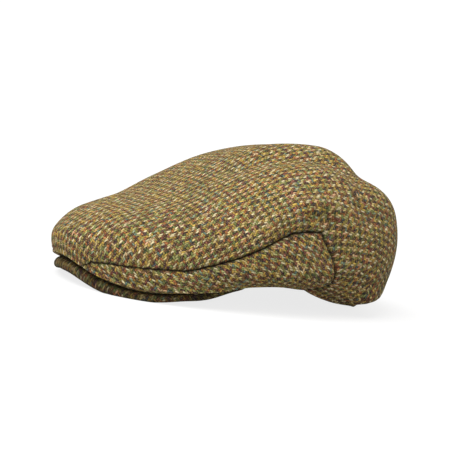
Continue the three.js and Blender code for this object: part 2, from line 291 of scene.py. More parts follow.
# Wool, and the names by which it finds its weave, its cloth's coordinates and its shade
WEAVE_NAME = "tweed weave"
CLOTH_NAME = "cloth"
SHADE_NAME = "shade"
WOOL_ROUGHNESS = 0.92
WOOL_GLOSS = 0.15
SHEEN_ROUGHNESS = 0.45

# Sockets of the Mix node
NUMBER_A, NUMBER_B = 2, 3
COLOUR_A, COLOUR_B, COLOUR_RESULT = 6, 7, 2

# Camera, fitted to the photograph's frame of 450 by 450 pixels
PHOTO_SIZE = 450
CAMERA_TURN = 57
CAMERA_RISE = 5.4
CAMERA_ROLL = 8.9
CAMERA_DISTANCE = 950
CAMERA_TARGET = (0, 0, 50)
CAMERA_FOCAL_PIXELS = 1217
TARGET_PIXEL = (225.9, 227.0)
SENSOR_WIDTH = 36
CLIP_START = 0.01

# Stage, in metres, and the way to the key light
FLOOR_REACH = 30.0
FLOOR_BOUNCE = 0.48
KEY_SOFTNESS = math.radians(50)
KEY_LEFT = 0.55
KEY_UP = 1.3
KEY_NEAR = 0.65
SKY_COLOUR = (1.0, 0.99, 0.97, 1.0)


def smoothstep(value, low, high):
    """Zero below low, one above high, and 3t^2 - 2t^3 between."""
    t = np.clip((value - low) / (high - low), 0, 1)
    return t * t * (3 - 2 * t)


def mix(a, b, share):
    """A straight blend from a to b."""
    return a + (b - a) * share


def length_of(vectors):
    """The length of each vector, kept as a last axis of one."""
    return np.linalg.norm(vectors, axis=-1, keepdims=True)


def unit(vectors):
    """Each vector with its length made one."""
    return vectors / np.maximum(length_of(vectors), TINY)


def arc_lengths(points):
    """How far along its own column each point of a grid lies, added up from the first row."""
    steps = length_of(np.diff(points, axis=1))[..., 0]
    return np.pad(np.cumsum(steps, axis=1), ((0, 0), (1, 0)))


def bell(offset):
    """A bell curve: e to the minus square of the offset."""
    return np.exp(-(offset**2))


def along_table(position, table, stations, values):
    """A smooth curve through two columns: cubic pieces whose slope at a row is the chord between
    its neighbours, and level at both ends."""
    x = np.asarray(table[stations], float)
    y = np.asarray(table[values], float)
    slope = np.zeros_like(y)
    slope[1:-1] = (y[2:] - y[:-2]) / (x[2:] - x[:-2])
    at = np.clip(position, x[0], x[-1])
    i = np.clip(np.searchsorted(x, at, side="right") - 1, 0, len(x) - 2)
    span = x[i + 1] - x[i]
    t = (at - x[i]) / span
    rise = t * t * (3 - 2 * t)
    bend = t * (1 - t) ** 2 * slope[i] - t * t * (1 - t) * slope[i + 1]
    return y[i] * (1 - rise) + y[i + 1] * rise + span * bend


def plan_point(angle):
    """The crown's outline in plan: two half superellipses that meet where it is widest."""
    sine = np.sin(np.radians(angle))
    cosine = np.cos(np.radians(angle))
    reach = CROWN_LENGTH / 2 + np.where(cosine > 0, WIDEST_Y, -WIDEST_Y)
    power = 2 / np.where(cosine > 0, FRONT_SQUARENESS, BACK_SQUARENESS)
    x = CROWN_WIDTH / 2 * np.sign(sine) * np.abs(sine) ** power
    y = WIDEST_Y - reach * np.sign(cosine) * np.abs(cosine) ** power
    return np.stack([x, y], axis=-1)


def head_point(angle, inset=0):
    """An ellipse round the head, smaller than the hem line by the inset."""
    x = (HEM_WIDTH / 2 - inset) * np.sin(np.radians(angle))
    y = HEM_Y - (HEM_LENGTH / 2 - inset) * np.cos(np.radians(angle))
    return np.stack([x, y], axis=-1)


def moved_in(points, distance):
    """Points in plan moved a distance towards the middle of the crown."""
    away = unit(points - np.array([0, WIDEST_Y]))
    return points - away * np.asarray(distance)[..., None]


def leaning_angle(angle, level):
    """The angle on the crown of a grid point, where both ends of a side panel lean: the rear seam
    forwards as it rises, and the tip forwards as it falls. Each fades as a bell curve."""
    from_rear = (np.abs(angle) - REAR_SEAM_ANGLE) / REAR_SEAM_REACH
    from_tip = (np.abs(angle) - TIP_ANGLE) / TIP_REACH
    rear_lean = along_table(level, REAR_SEAM, "level", "lean") * bell(from_rear)
    tip_lean = TIP_LEAN * (1 - smoothstep(level, 0, TIP_LEVEL)) * bell(from_tip)
    return angle - np.sign(angle) * (rear_lean + tip_lean)


def turn_from_front(angle):
    """An angle's size, measured the short way round from the front."""
    return np.abs((angle + 180) % 360 - 180)


def share_on_peak(turn):
    """How much of the hem lies on the peak and not on the head."""
    return 1 - smoothstep(turn, LEAVES_PEAK, ON_HEAD)


def fold_height(points, folds):
    """The sum of all folds: each has the height of its line's nearest point, times a bell curve
    of the distance over its width."""
    total = np.zeros(points.shape[:-1])
    for width, line in folds.values():
        nearest = np.full(points.shape[:-1], np.inf)
        height = np.zeros(points.shape[:-1])
        for start, end in zip(line[:-1], line[1:]):
            a = np.array(start[:3], float)
            stretch = np.array(end[:3], float) - a
            along = np.clip((points - a) @ stretch / (stretch @ stretch), 0, 1)
            distance = np.linalg.norm(points - a - along[..., None] * stretch, axis=-1)
            closer = distance < nearest
            nearest = np.where(closer, distance, nearest)
            height = np.where(closer, mix(start[3], end[3], along), height)
        total += height * bell(nearest / width)
    return total


def crown_point(grid_angle, level):
    """The outer face of the crown. Below the widest line a wall curls in to the hem, above it a
    dome of superellipse sections rises to the profile, and the folds push out from a core line."""
    grid_angle, level = np.broadcast_arrays(np.asarray(grid_angle, float), level)
    angle = leaning_angle(grid_angle, level)
    turn = turn_from_front(angle)
    rim = plan_point(angle)
    rim_height = along_table(turn, RING, "angle", "rim")
    hem = mix(head_point(angle), moved_in(rim, np.full(turn.shape, OVERHANG)),
              share_on_peak(turn)[..., None])
    right_lift = peak_height(hem[..., 0], hem[..., 1]) - peak_height(np.abs(hem[..., 0]), hem[..., 1])
    hem_height = np.maximum(along_table(turn, RING, "angle", "hem"), 0)
    hem_height = hem_height + right_lift * share_on_peak(turn)
    tuck = np.radians(along_table(turn, RING, "angle", "tuck"))
    down = 1 - np.clip(level, 0, 1)
    inwards = (1 - np.cos(down * tuck)) / (1 - np.cos(tuck))
    fall = np.sin(down * tuck) / np.sin(tuck)
    low_plan = mix(rim, hem, inwards[..., None])
    low = np.concatenate([low_plan, mix(rim_height, hem_height, fall)[..., None]], axis=-1)

    out = np.cos((np.clip(level, 1, 2) - 1) * np.pi / 2)
    x = rim[..., 0] * out
    y = mix(WIDEST_Y, rim[..., 1], out)
    drop = along_table(y, SPINE, "y", "droop") * (x / (CROWN_WIDTH / 2)) ** 2
    top = along_table(y, SPINE, "y", "top") - drop
    squareness = along_table(turn, RING, "angle", "edge")
    rise = np.sqrt(np.clip(1 - out**squareness, 0, 1))
    high = np.stack([x, y, mix(rim_height, top, rise)], axis=-1)

    points = np.where((level <= 1)[..., None], low, high)
    core = np.stack([np.zeros_like(x), np.clip(points[..., 1], CORE_FRONT_Y, CORE_BACK_Y),
                     np.full_like(x, CORE_HEIGHT)], axis=-1)
    folds = fold_height(points, FOLDS) * smoothstep(level, 0, FOLDS_SETTLE_LEVEL)
    return points + unit(points - core) * folds[..., None]


def peak_height(x, y):
    """The peak's lower face, where it has its full thickness: arched from side to side, with the
    right side flatter in front, sloping down to the front and rising a little at its two ends."""
    arch = (np.sin(np.pi * x / PEAK_ARCH_WIDTH) ** 2) ** np.where(x < 0, PEAK_ARCH_RIGHT_POWER, 1)
    end_rise = PEAK_END_RISE * smoothstep(y, PEAK_RISE_START_Y, PEAK_RISE_END_Y)
    return PEAK_FRONT_HEIGHT + PEAK_SLOPE * (y + CROWN_LENGTH / 2) - PEAK_ARCH * arch + end_rise


def crowded_at_ends(count):
    """Shares from 0 to 1, closest together at both ends: u less a share of its own sine."""
    u = np.linspace(0, 1, count + 1)
    return u - GRADING_AT_ENDS * np.sin(2 * np.pi * u) / (2 * np.pi)


def crowded_at_start(count):
    """Shares from 0 to 1 that grow further apart, as an exponential does."""
    u = np.linspace(0, 1, count + 1)
    return np.expm1(GRADING_AWAY * u) / np.expm1(GRADING_AWAY)


def crown_columns():
    """The grid's angles from -180 up to 180, crowded at the four ends of the side panels."""
    to_tip = TIP_ANGLE * (1 - crowded_at_start(COLUMNS_TO_TIP)[::-1])
    panel = mix(TIP_ANGLE, REAR_SEAM_ANGLE, crowded_at_ends(COLUMNS_ALONG_PANEL))
    to_back = mix(REAR_SEAM_ANGLE, 180, crowded_at_start(COLUMNS_TO_BACK))
    half = np.concatenate([to_tip, panel[1:], to_back[1:]])
    return np.concatenate([-half[::-1], half[1:-1]])


def crown_rows():
    """The grid's heights: -1 to 0 on the turned-in strip, to 1 at the seam and to 2 on top."""
    turned_in = np.linspace(-1, 0, ROWS_TURNED_IN + 1)
    below = crowded_at_ends(ROWS_BELOW_SEAM)
    above = 1 + crowded_at_start(ROWS_ABOVE_SEAM)
    return np.concatenate([turned_in, below[1:], above[1:]])


def grid_level(angle, row):
    """The level of a grid point, from the hem to the seam's level and on to the top."""
    seam = along_table(np.abs(angle), SEAM, "angle", "level")
    return np.where(row <= 1, seam * np.clip(row, 0, 1), mix(seam, 2, np.clip(row - 1, 0, 1)))


def plain_crown(columns, rows):
    """The crown's outer face on a grid, with the hem's strip turned in horizontally."""
    angle = columns[:, None]
    row = rows[None, :]
    points = crown_point(angle, grid_level(angle, row))
    hem = crown_point(columns, np.zeros_like(columns))
    around = crown_point(columns + PROBE, np.zeros_like(columns)) - hem
    inwards = unit(np.stack([-around[:, 1], around[:, 0]], axis=-1))
    turned = np.clip(-row, 0, 1)[..., None]
    plan = hem[:, None, :2] + inwards[:, None, :] * turned * HEM_TURN
    seat = peak_height(plan[..., 0], plan[..., 1]) + PEAK_THICKNESS + SEAT_GAP
    settled = share_on_peak(np.abs(angle)) * turned[..., 0]
    strip = np.concatenate([plan, mix(hem[:, None, 2], seat, settled)[..., None]], axis=-1)
    return np.where((row < 0)[..., None], strip, points)


def surface_frame(points):
    """Unit vectors round, up and out of a ring-shaped grid, from its neighbours' differences."""
    around = np.roll(points, -1, axis=0) - np.roll(points, 1, axis=0)
    around[:, -1] = around[:, -2]
    around = unit(around)
    up = unit(np.gradient(points, axis=1))
    out = unit(np.cross(around, up))
    out[:, -1] = (0, 0, 1)
    return around, up, out


def in_panel(columns):
    """Which columns lie on a side panel, its two ends included."""
    turn = np.abs(columns)
    return (turn >= TIP_ANGLE - SAME_ANGLE) & (turn <= REAR_SEAM_ANGLE + SAME_ANGLE)


def panel_columns(columns, side):
    """Which columns of cells belong to the side panel on one side, 1 for left and -1 for right."""
    following = np.roll(columns, -1)
    on_side = (np.sign(columns) == side) & (np.sign(following) == side)
    return in_panel(columns) & in_panel(following) & on_side


def seam_points(points, columns):
    """The grid points on the seams round both side panels."""
    along_top = points[in_panel(columns), SEAM_ROW]
    at_end = np.isclose(np.abs(columns), TIP_ANGLE) | np.isclose(np.abs(columns), REAR_SEAM_ANGLE)
    ends = points[at_end, :SEAM_ROW].reshape(-1, 3)
    return np.concatenate([along_top, ends])


def distance_to(points, targets):
    """The distance from each point to the nearest target, one row of the grid at a time."""
    nearest = np.empty(points.shape[:-1])
    for row in range(points.shape[1]):
        apart = points[:, None, row] - targets[None]
        nearest[:, row] = np.sqrt((apart**2).sum(-1).min(-1))
    return nearest


def cloth_relief(points, columns, level, sizes):
    """How far the dressed cloth stands off the plain crown, and its painted shade: seams roll in on a
    quarter circle and draw a wider dent after them, and the hem ends in a bead above a row of
    stitches. The painted shade is 1 at the bottom of a seam, where it also stands for the dark seam
    line, and below 0, a painted highlight, on the folded edge of the hem."""
    from_seam = distance_to(points, seam_points(points, columns)) * MM
    near = np.clip(1 - from_seam / sizes.seam_roll, 0, 1)
    relief = -sizes.seam_depth * (1 - np.sqrt(np.clip(1 - near**2, 0, 1)))
    relief -= sizes.seam_draw * bell(from_seam / sizes.seam_draw_width)
    depth = mix(FRONT_SEAM_SHARE, 1, smoothstep(np.abs(columns), *SEAM_DEEPENS))[:, None]
    settled = smoothstep(level, 0, FINE_SETTLE_LEVEL)
    relief = relief * depth + fold_height(points, FINE_FOLDS) * settled * MM
    run = arc_lengths(points)
    from_hem = (run - run[:, HEM_ROW : HEM_ROW + 1]) * MM
    hem_bead = bell(from_hem / sizes.hem_bead_width)
    stitch_line = bell((from_hem - sizes.hem_stitch_height) / sizes.hem_bead_width)
    relief += sizes.hem_bead * (hem_bead - stitch_line)
    # Painted shade at the bottom of each seam, partly its dark seam line, narrower at the front, and
    # a painted highlight on the hem's folded edge
    shade = bell(from_seam / (sizes.crease_width * np.sqrt(depth))) - HEM_LIGHT * hem_bead
    return relief / MM, shade


def rounded_rows(points, first, last, rounds):
    """Softens the grid's rows from first to last: each moves halfway to its neighbours' middle."""
    points = points.copy()
    for _ in range(rounds):
        middle = (points[:, first - 1 : last - 1] + points[:, first + 1 : last + 1]) / 2
        points[:, first:last] = (points[:, first:last] + middle) / 2
    return points


class CrownGrid:
    """The crown's two faces on one grid that the three panels share."""

    def __init__(self, sizes):
        self.columns = crown_columns()
        rows = crown_rows()
        self.level = grid_level(self.columns[:, None], rows[None, :])
        self.plain = rounded_rows(plain_crown(self.columns, rows), *HEM_SOFTENED,
                                  HEM_SOFTENING_ROUNDS)
        self.round, self.up, self.out = surface_frame(self.plain)
        relief, self.shade = cloth_relief(self.plain, self.columns, self.level, sizes)
        self.outer = self.plain + self.out * relief[..., None]
        self.outer[..., 2] = np.maximum(self.outer[..., 2], 0)
        inwards = -unit(rounded_rows(self.out, *WALL_SOFTENED, WALL_SOFTENING_ROUNDS))
        self.inner = self.plain + inwards * sizes.cloth_wall / MM
        below = np.arange(TOP_ROW)[None, :] < SEAM_ROW
        self.left_cells = panel_columns(self.columns, 1)[:, None] & below
        self.right_cells = panel_columns(self.columns, -1)[:, None] & below
        self.top_cells = ~(self.left_cells | self.right_cells)

    def outer_moved_off_seams(self, cells, gap):
        """The outer face with the points on a seam moved half the gap into these cells' own side,
        so that two panels part in a narrow cleft and still meet on their inner faces."""
        around = np.roll(cells, 1, axis=0)
        held = np.zeros((len(self.columns), TOP_ROW + 1))
        push_round = np.zeros_like(held)
        push_up = np.zeros_like(held)
        for side, shifted in ((1, cells), (-1, around)):
            for rise, rows in ((1, slice(0, TOP_ROW)), (-1, slice(1, TOP_ROW + 1))):
                held[:, rows] += shifted
                push_round[:, rows] += side * shifted
                push_up[:, rows] += rise * shifted
        on_edge = (held > 0) & (held < CELLS_AT_A_POINT)
        on_edge[:, [0, TOP_ROW]] = False
        push = self.round * np.sign(push_round)[..., None] + self.up * np.sign(push_up)[..., None]
        push = push * on_edge[..., None] * gap / 2 / MM
        return self.outer + push


def cloth_links(points, exists, axes, firmness, wraps):
    """The links between neighbours on a grid of cloth: each point's number, the two ends of every
    link, its weight, and the across and along steps on the two axes given at its ends."""
    columns, rows = exists.shape
    number = np.arange(exists.size).reshape(columns, rows)
    if wraps:
        number[:, -1] = number[0, -1]
    pairs = []
    firm = []
    for across, up in ((1, 0), (0, 1)):
        a = number[:, : rows - up]
        b = np.roll(number, -across, axis=0)[:, up:]
        if across and not wraps:
            a, b = a[:-1], b[:-1]
        pairs.append(np.stack([a.ravel(), b.ravel()]))
        firm.append(firmness.ravel()[a.ravel()] if across else np.ones(a.size))
    first, second = np.concatenate(pairs, axis=1)
    steps = points.reshape(-1, 3)[second] - points.reshape(-1, 3)[first]
    apart = length_of(steps)[:, 0]
    kept = exists.ravel()[first] & exists.ravel()[second] & (apart > SAME_POINT)
    first, second, steps = first[kept], second[kept], steps[kept]
    weight = (np.concatenate(firm)[kept] / apart[kept])[:, None]
    axes = axes.reshape(-1, 2, 3)
    wanted = ((axes[first] + axes[second]) / 2 * steps[:, None]).sum(-1)
    return number, first, second, weight, wanted


def laid_flat(points, exists, axes, firmness, start, wraps, rounds):
    """Lays a grid of cloth flat: the across and along steps between neighbours come as near as
    they can to the steps on the surface, measured on the two axes given at each point. The least
    squares are solved by conjugate gradients. Where the cloth is not firm, it may draw together
    round the crown. A grid that wraps round ends in a single point at its top."""
    number, first, second, weight, wanted = cloth_links(points, exists, axes, firmness, wraps)
    size = exists.size

    def gathered(values):
        sums = [np.bincount(second, values[:, k], size) - np.bincount(first, values[:, k], size)
                for k in (0, 1)]
        return np.stack(sums, axis=-1)

    total = np.bincount(first, weight[:, 0], size) + np.bincount(second, weight[:, 0], size)
    scale = np.where(total > 0, 1 / np.maximum(total, TINY), 0)[:, None]
    flat = start.reshape(-1, 2).copy()
    left_over = gathered(weight * (wanted - (flat[second] - flat[first])))
    move = left_over * scale
    strength = (left_over * move).sum(0)
    for _ in range(rounds):
        pull = gathered(weight * (move[second] - move[first]))
        share = strength / (move * pull).sum(0)
        flat += share * move
        left_over -= share * pull
        eased = (left_over * left_over * scale).sum(0)
        move = left_over * scale + eased / strength * move
        strength = eased
    return flat[number]


def spread(values, coarse, fine):
    """Values on coarse stations along the first axis, blended straight onto the fine ones."""
    i = np.clip(np.searchsorted(coarse, fine, side="right") - 1, 0, len(coarse) - 2)
    share = (fine - coarse[i]) / (coarse[i + 1] - coarse[i])
    share = share.reshape((-1,) + (1,) * (values.ndim - 1))
    return mix(values[i], values[i + 1], share)


def coarse_rows():
    """The grid rows that the first, coarse laying-out uses."""
    turned_in = np.arange(0, HEM_ROW, COARSE_ROWS["turned in"])
    below = np.arange(HEM_ROW, SEAM_ROW, COARSE_ROWS["below"])
    above = np.arange(SEAM_ROW, TOP_ROW + 1, COARSE_ROWS["above"])
    return np.concatenate([turned_in, below, above])


def top_grain(grid):
    """The across and along threads' directions at each point of the top panel. The grain keeps
    its course as the cloth turns down, and behind the rear seams it stays level for longer."""
    plan = unit(grid.round[..., :2])
    fall = np.arctan2(-plan[..., 0], np.abs(plan[..., 1]))
    share = np.clip(fall, 0, np.pi / 2) / (np.pi / 2)
    late = np.pi / 2 * share**GRAIN_FALL_POWER
    late = mix(late, fall, smoothstep(grid.level, *GRAIN_FADE_LEVELS))
    fall = np.where(fall > 0, late, fall)
    across_share = -np.sin(fall)[..., None]
    along_share = (np.sign(plan[..., 1]) * np.cos(fall))[..., None]
    down = np.cross(grid.round, grid.out)
    across = grid.round * across_share + down * along_share
    along = grid.round * along_share - down * across_share
    axes = np.stack([across, along], axis=-2)
    axes[:, -1] = ((1, 0, 0), (0, 1, 0))
    return axes


def top_cloth_coordinates(grid):
    """Across and along coordinates of the top panel, in millimetres: it starts as lines that run
    out from the top of the head, and is then laid flat, coarsely first."""
    exists = np.zeros((len(grid.columns), TOP_ROW + 1), bool)
    for shifted in (grid.top_cells, np.roll(grid.top_cells, 1, axis=0)):
        exists[:, :-1] |= shifted
        exists[:, 1:] |= shifted
    points = grid.plain
    from_top = arc_lengths(points[:, ::-1])[:, ::-1]
    away = unit(plan_point(grid.columns) - np.array([0, WIDEST_Y]))
    start = away[:, None] * from_top[..., None]
    axes = top_grain(grid)
    to_back = smoothstep(np.abs(grid.columns), *LOOSE_ANGLES)[:, None]
    low = 1 - smoothstep(grid.level, *LOOSE_LEVELS)
    firmness = mix(1, LOOSE_SHARE, to_back * low)

    rows = coarse_rows()
    pick = np.ix_(np.arange(0, len(grid.columns), COARSE_COLUMN), rows)
    coarse = laid_flat(points[pick], exists[pick], axes[pick], firmness[pick], start[pick], True,
                       COARSE_ROUNDS)
    closed = np.concatenate([coarse, coarse[:1]])
    numbers = np.arange(0, len(grid.columns) + 1, COARSE_COLUMN)
    flat = spread(closed, numbers, np.arange(len(grid.columns)))
    flat = spread(flat.swapaxes(0, 1), rows, np.arange(TOP_ROW + 1)).swapaxes(0, 1)
    return laid_flat(points, exists, axes, firmness, flat, True, FINE_ROUNDS)


def side_cloth_coordinates(grid, cells, side, tilt):
    """Across and along coordinates of a side panel: arc lengths from its middle row and along it,
    laid flat, then turned so that the grain slopes down to the rear."""
    used = np.flatnonzero(cells.any(axis=1))
    used = np.append(used, used[-1] + 1)
    rows = slice(0, SEAM_ROW + 1)
    points = grid.plain[used, rows]
    level_way = grid.round[used, rows]
    down_way = np.cross(level_way, grid.out[used, rows])
    axes = np.stack([-down_way, level_way], axis=-2)
    middle = HEM_ROW + ROWS_BELOW_SEAM // 2
    along = arc_lengths(points[None, :, middle])[0]
    up = arc_lengths(points)
    up = up - up[:, middle : middle + 1]
    start = np.stack([up, np.broadcast_to(along[:, None], up.shape)], axis=-1)
    flat = laid_flat(points, np.ones(up.shape, bool), axes, np.ones(up.shape), start, False,
                     COARSE_ROUNDS)
    up, along = flat[..., 0], flat[..., 1] * side
    whole = np.zeros((len(grid.columns), TOP_ROW + 1, 2))
    whole[used, rows, 0] = along * math.sin(tilt) + up * math.cos(tilt)
    whole[used, rows, 1] = along * math.cos(tilt) - up * math.sin(tilt)
    return whole


def shell_faces(cells):
    """Corner numbers of a closed shell's faces: outer cells, inner cells and the walls at every
    edge. A point's number is twice its place on the grid, one more on the inner face."""
    count = cells.shape[0]
    height = cells.shape[1] + 1

    def corner(column, row, face):
        at_top = row == height - 1
        wrapped = np.where(at_top, 0, column % count)
        return (wrapped * height + row) * 2 + face

    column, row = np.nonzero(cells)
    outer = [corner(column, row, 0), corner(column + 1, row, 0),
             corner(column + 1, row + 1, 0), corner(column, row + 1, 0)]
    inner = [corner(column, row + 1, 1), corner(column + 1, row + 1, 1),
             corner(column + 1, row, 1), corner(column, row, 1)]
    faces = [np.stack(outer, axis=-1), np.stack(inner, axis=-1)]
    walls = (
        (np.pad(cells, ((0, 0), (1, 0)))[:, :-1], (0, 0), (1, 0)),
        (np.roll(cells, -1, axis=0), (1, 0), (1, 1)),
        (np.pad(cells, ((0, 0), (0, 1)), constant_values=True)[:, 1:], (1, 1), (0, 1)),
        (np.roll(cells, 1, axis=0), (0, 1), (0, 0)),
    )
    for beyond, a, b in walls:
        column, row = np.nonzero(cells & ~beyond)
        wall = [corner(column + a[0], row + a[1], 0), corner(column + a[0], row + a[1], 1),
                corner(column + b[0], row + b[1], 1), corner(column + b[0], row + b[1], 0)]
        faces.append(np.stack(wall, axis=-1))
    return np.concatenate(faces)


def mesh_object(name, points, faces, corner_uv, shade=None):
    """A smooth mesh from points in millimetres and four-cornered faces. A face whose two
    neighbouring corners are one point becomes a triangle, and unused points are left out. The
    shade is kept as an attribute for the cloth's material."""
    used, numbers = np.unique(faces, return_inverse=True)
    faces = numbers.reshape(faces.shape)
    doubled = faces == np.roll(faces, -1, axis=1)
    is_triangle = doubled.any(axis=1)
    four = faces[~is_triangle]
    three = faces[is_triangle][~doubled[is_triangle]].reshape(-1, 3)
    corners = np.concatenate([four.ravel(), three.ravel()])
    starts = np.concatenate([np.arange(len(four)) * 4, four.size + np.arange(len(three)) * 3])
    totals = np.concatenate([np.full(len(four), 4), np.full(len(three), 3)])
    uv = np.concatenate([corner_uv[~is_triangle].reshape(-1, 2),
                         corner_uv[is_triangle][~doubled[is_triangle]].reshape(-1, 2)])
    mesh = bpy.data.meshes.new(name)
    mesh.vertices.add(len(used))
    mesh.vertices.foreach_set("co", (points[used] * MM).astype(np.float32).ravel())
    mesh.loops.add(len(corners))
    mesh.loops.foreach_set("vertex_index", corners.astype(np.int32))
    mesh.polygons.add(len(totals))
    mesh.polygons.foreach_set("loop_start", starts.astype(np.int32))
    mesh.polygons.foreach_set("loop_total", totals.astype(np.int32))
    mesh.polygons.foreach_set("use_smooth", np.ones(len(totals), bool))
    layer = mesh.uv_layers.new(name=CLOTH_NAME)
    layer.data.foreach_set("uv", uv.astype(np.float32).ravel())
    if shade is not None:
        attribute = mesh.attributes.new(SHADE_NAME, "FLOAT", "POINT")
        attribute.data.foreach_set("value", shade[used].astype(np.float32))
    mesh.update(calc_edges=True)
    if mesh.validate():
        raise RuntimeError(f"{name} has faulty faces")
    mesh.set_sharp_from_angle(angle=SHARP_EDGE)
    piece = bpy.data.objects.new(name, mesh)
    bpy.context.scene.collection.objects.link(piece)
    return piece


def panel_object(name, grid, cells, flat, sizes):
    """One panel of the crown as a closed shell of cloth."""
    outer = grid.outer_moved_off_seams(cells, sizes.seam_gap)
    points = np.stack([outer, grid.inner], axis=2).reshape(-1, 3)
    faces = shell_faces(cells)
    shade = np.stack([grid.shade, grid.shade], axis=2).ravel()
    return mesh_object(name, points, faces, flat.reshape(-1, 2)[faces // 2], shade)


def peak_section(sizes):
    """The peak's section, once round it from the inner edge under the peak to the outer edge and
    back on top: each point's share of the way across, how far it stands out and up in radii of
    the round edges, and its arc round the outer edge."""
    quarter = np.linspace(0, np.pi / 2, sizes.peak_edge_steps + 1)
    flat_rows = np.linspace(0, 1, sizes.peak_rows + 1)[1:-1]
    share = np.concatenate([np.zeros_like(quarter), flat_rows, np.ones_like(quarter)])
    beyond = np.concatenate([-np.cos(quarter), np.zeros_like(flat_rows), np.sin(quarter)])
    drop = np.concatenate([np.sin(quarter), np.ones_like(flat_rows), np.cos(quarter)])
    arc = np.concatenate([quarter * 0, flat_rows * 0, np.pi - quarter])
    way_back = slice(-2, 0, -1)
    share = np.concatenate([share, share[way_back]])
    beyond = np.concatenate([beyond, beyond[way_back]])
    lift = np.concatenate([-drop, drop[way_back]])
    arc = np.concatenate([arc, np.pi - arc[way_back]]) * (beyond > 0)
    return share, beyond, lift, arc


def peak_faces(columns, around, edge_steps):
    """The peak's faces, closed at both ends, and which of them have the under face's cloth."""
    column, row = np.meshgrid(np.arange(columns - 1), np.arange(around), indexing="ij")
    column, row = column.ravel(), row.ravel()
    after = (row + 1) % around
    tube = np.stack([(column + 1) * around + row, (column + 1) * around + after,
                     column * around + after, column * around + row], axis=-1)
    half = around // 2
    k = np.arange(half)
    cap = np.stack([k, k + 1, (around - k - 1) % around, (around - k) % around], axis=-1)
    faces = np.concatenate([tube, cap[:, ::-1], cap + (columns - 1) * around])
    is_under = (row >= edge_steps) & (row < half - edge_steps)
    return faces, np.concatenate([is_under, np.ones(2 * half, bool)])


def peak_object(name, sizes):
    """The covered peak: a flat section with round edges, carried round the front of the head. Its
    outer edge droops with the square of the way across, its under face rises to the upper one towards
    both ends, and the cloth of the upper face runs on over the front edge. The upper face gets
    painted shade inwards from its edge, standing for the shade under the crown."""
    angle = mix(-PEAK_END_ANGLE, PEAK_END_ANGLE, crowded_at_ends(sizes.peak_columns))
    turn = np.abs(angle)
    taper = mix(1, PEAK_END_SHARE, smoothstep(turn, PEAK_TAPER_ANGLE, PEAK_END_ANGLE))
    end_turn = np.clip((PEAK_END_ANGLE - turn) / sizes.peak_end_round, 0, 1)
    taper = taper * np.sqrt(np.clip(1 - (1 - end_turn) ** 2, PEAK_END_LEAST**2, 1))
    thickness = PEAK_THICKNESS + along_table(turn, PEAK_EDGE, "angle", "thicker")
    radius = (thickness / 2 * taper)[:, None]
    inset = mix(PEAK_INSET, PEAK_END_INSET, smoothstep(turn, PEAK_NARROWS, PEAK_END_ANGLE))
    inner = head_point(angle, HEM_TURN)
    outer = moved_in(plan_point(angle), inset + radius[:, 0])
    outwards = unit(outer - inner)
    inner = inner + outwards * radius

    share, beyond, lift, arc = peak_section(sizes)
    base = mix(inner[:, None], outer[:, None], share[None, :, None])
    plan = base + outwards[:, None] * (beyond * radius)[..., None]
    droop = along_table(turn, PEAK_EDGE, "angle", "droop")[:, None] * share**2
    height = peak_height(plan[..., 0], plan[..., 1]) + PEAK_THICKNESS - radius * (1 - lift) - droop
    points = np.concatenate([plan, np.maximum(height, 0)[..., None]], axis=-1)
    run_on = np.where(beyond > 0, arc, beyond) * PEAK_THICKNESS / 2
    wrapped = base + outwards[:, None] * run_on[None, :, None]
    faces, is_under = peak_faces(len(angle), len(share), sizes.peak_edge_steps)
    corner_uv = np.where(is_under[:, None, None], plan.reshape(-1, 2)[faces],
                         wrapped.reshape(-1, 2)[faces])
    into = (1 - share) * length_of(outer - inner)
    # Painted shade on the upper face, growing inwards from its outer edge under the crown
    shade = np.where(lift < 0, 0, smoothstep(into, *PEAK_SHADE_REACH)) * sizes.peak_shade
    return mesh_object(name, points.reshape(-1, 3), faces, corner_uv, shade.ravel())


def linear(colour):
    """A screen colour from 0 to 255 as the light it stands for, by the sRGB curve."""
    share = np.array(colour) / 255
    light = np.where(share <= 0.04045, share / 12.92, ((share + 0.055) / 1.055) ** 2.4)
    return (*light.tolist(), 1.0)


def add_node(tree, kind, inputs=None, **settings):
    """A node with its settings made, and its inputs linked to a socket or set to a value."""
    node = tree.nodes.new(kind)
    for name, value in settings.items():
        setattr(node, name, value)
    for name, value in (inputs or {}).items():
        if isinstance(value, bpy.types.NodeSocket):
            tree.links.new(value, node.inputs[name])
        else:
            node.inputs[name].default_value = value
    return node


def calculate(tree, operation, *values, clamp=False):
    """A Math node's result."""
    return add_node(tree, "ShaderNodeMath", dict(enumerate(values)), operation=operation,
                    use_clamp=clamp).outputs[0]


def blend_numbers(tree, share, a, b):
    """A number between a and b."""
    return add_node(tree, "ShaderNodeMix", {"Factor": share, NUMBER_A: a, NUMBER_B: b},
                    data_type="FLOAT").outputs[0]


def blend_colours(tree, share, a, b):
    """A colour between a and b."""
    return add_node(tree, "ShaderNodeMix", {"Factor": share, COLOUR_A: a, COLOUR_B: b},
                    data_type="RGBA").outputs[COLOUR_RESULT]


def noise_over(tree, place, scale, detail=2.0, roughness=0.5):
    """A soft noise over a place, as its node."""
    return add_node(tree, "ShaderNodeTexNoise", {"Vector": place, "Scale": scale, "Detail": detail,
                                                 "Roughness": roughness})


def spread_between(tree, noise, low, high):
    """The middle of a noise, spread from low to high."""
    return add_node(tree, "ShaderNodeMapRange", {
        "Value": noise.outputs["Fac"],
        "From Min": NOISE_MIDDLE[0], "From Max": NOISE_MIDDLE[1],
        "To Min": low, "To Max": high,
    }).outputs[0]


def new_group(name, inputs, outputs):
    """A shader node group with its sockets, and the nodes that hold them."""
    group = bpy.data.node_groups.new(name, "ShaderNodeTree")
    for socket, (kind, value) in inputs.items():
        made = group.interface.new_socket(socket, in_out="INPUT", socket_type=kind)
        if value is not None:
            made.default_value = value
    for socket, kind in outputs.items():
        group.interface.new_socket(socket, in_out="OUTPUT", socket_type=kind)
    given = group.nodes.new("NodeGroupInput").outputs
    result = group.nodes.new("NodeGroupOutput")
    return group, given, result


